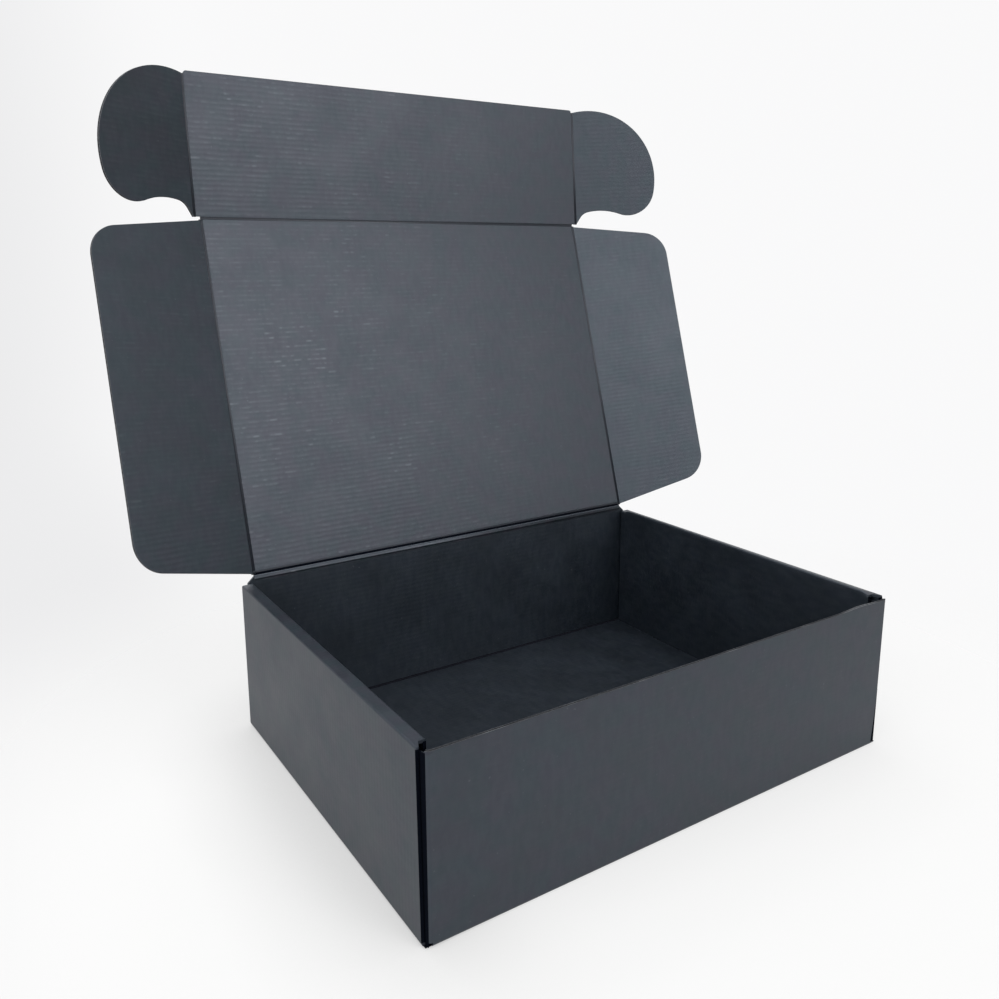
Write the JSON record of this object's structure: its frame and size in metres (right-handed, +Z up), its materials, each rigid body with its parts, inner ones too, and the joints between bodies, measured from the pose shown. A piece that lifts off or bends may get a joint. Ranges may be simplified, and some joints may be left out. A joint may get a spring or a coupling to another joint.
{
  "type": "corrugated mailer box",
  "caption": "Black corrugated mailer box, a roll-end tray with a hinged lid, side flaps, tuck panel and locking ears, shown open.",
  "frame": {"origin": "centre of the tray's underside, on the surface that the box stands on", "axes": "+X to the right across the front wall, +Y from the front wall to the rear wall with the lid's crease, +Z up"},
  "size_m": [0.4226, 0.2918, 0.3878],
  "materials": {
    "outer_board": "matt black printed liner over fine flutes",
    "inner_board": "matt charcoal liner, flutes showing through as fine lines"
  },
  "bodies": {
    "tray": {"tray": "outer_board"},
    "lid": {"lid": "inner_board"},
    "left_side_flap": {"left_side_flap": "inner_board"},
    "right_side_flap": {"right_side_flap": "inner_board"},
    "tuck_flap": {"tuck_flap": "inner_board"},
    "left_ear": {"left_ear": "inner_board"},
    "right_ear": {"right_ear": "inner_board"}
  },
  "joints": [
    {"name": "lid_hinge", "type": "hinge", "parent": "tray", "child": "lid", "pos_m": [0, 0.11025, 0.0933], "axis": [-1, 0, 0], "range_deg": [-106.7, 73.3]},
    {"name": "left_flap_fold", "type": "hinge", "parent": "lid", "child": "left_side_flap", "pos_m": [-0.14193, 0.14163, 0.19789], "axis": [0, -0.2874, -0.9578], "range_deg": [-70, 45]},
    {"name": "right_flap_fold", "type": "hinge", "parent": "lid", "child": "right_side_flap", "pos_m": [0.14193, 0.14163, 0.19789], "axis": [0, 0.2874, 0.9578], "range_deg": [-70, 45]},
    {"name": "tuck_fold", "type": "hinge", "parent": "lid", "child": "tuck_flap", "pos_m": [0, 0.17301, 0.30249], "axis": [-1, 0, 0], "range_deg": [-78, 42]},
    {"name": "left_ear_fold", "type": "hinge", "parent": "tuck_flap", "child": "left_ear", "pos_m": [-0.14559, 0.17645, 0.34435], "axis": [0, -0.0819, -0.9966], "range_deg": [-62, 33.4]},
    {"name": "right_ear_fold", "type": "hinge", "parent": "tuck_flap", "child": "right_ear", "pos_m": [0.14559, 0.17645, 0.34435], "axis": [0, 0.0819, 0.9966], "range_deg": [-62, 33.4]}
  ],
  "couplings": [
    {"joint": "left_ear_fold", "follows": "tuck_fold", "ratio": 0.7948},
    {"joint": "right_ear_fold", "follows": "tuck_fold", "ratio": 0.7948}
  ]
}
